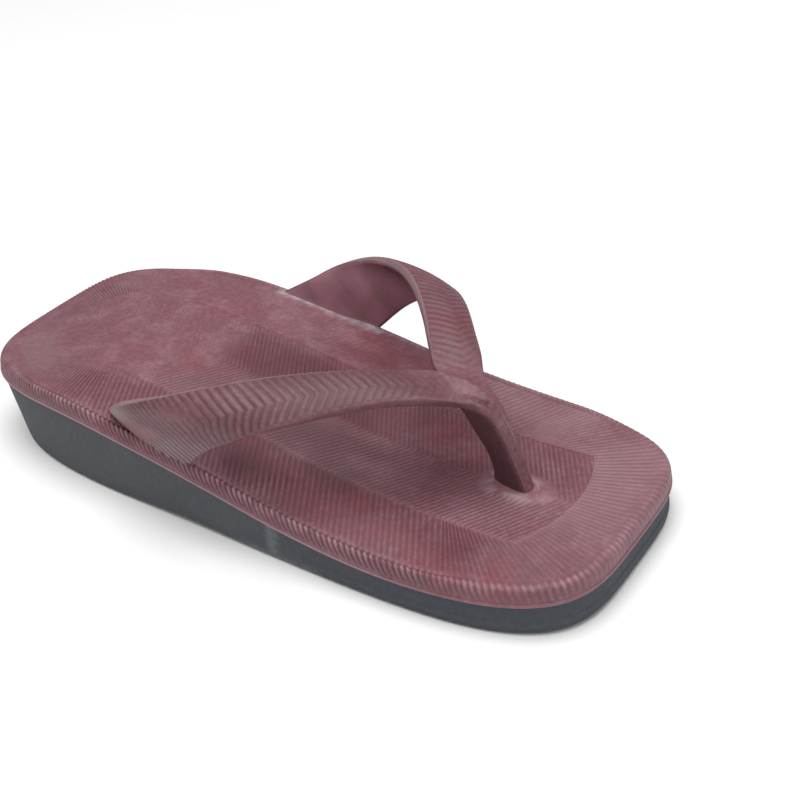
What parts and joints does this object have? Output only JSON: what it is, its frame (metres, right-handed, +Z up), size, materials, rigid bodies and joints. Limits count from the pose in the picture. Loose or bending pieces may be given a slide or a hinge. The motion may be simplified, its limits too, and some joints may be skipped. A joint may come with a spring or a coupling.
{
  "type": "setta sandal",
  "caption": "Flat-soled thong sandal with a rounded oblong deck, rolled rim, low foam wedge sole and a one-piece V strap with a toe post.",
  "frame": {"origin": "on the floor under the middle of the sole", "axes": "+X towards the toe, +Y to the side that lies far in the picture, +Z up"},
  "size_m": [0.2667, 0.118, 0.0611],
  "materials": {
    "sole_foam": "matt foamed rubber, dark grey",
    "deck_vinyl": "moulded vinyl with fine ribs, dusty burgundy, dull sheen",
    "strap_vinyl": "moulded vinyl with chevron ribs, dusty burgundy, dull sheen"
  },
  "bodies": {
    "root": {"sole": "sole_foam", "deck": "deck_vinyl", "v_strap": "strap_vinyl"}
  },
  "joints": []
}
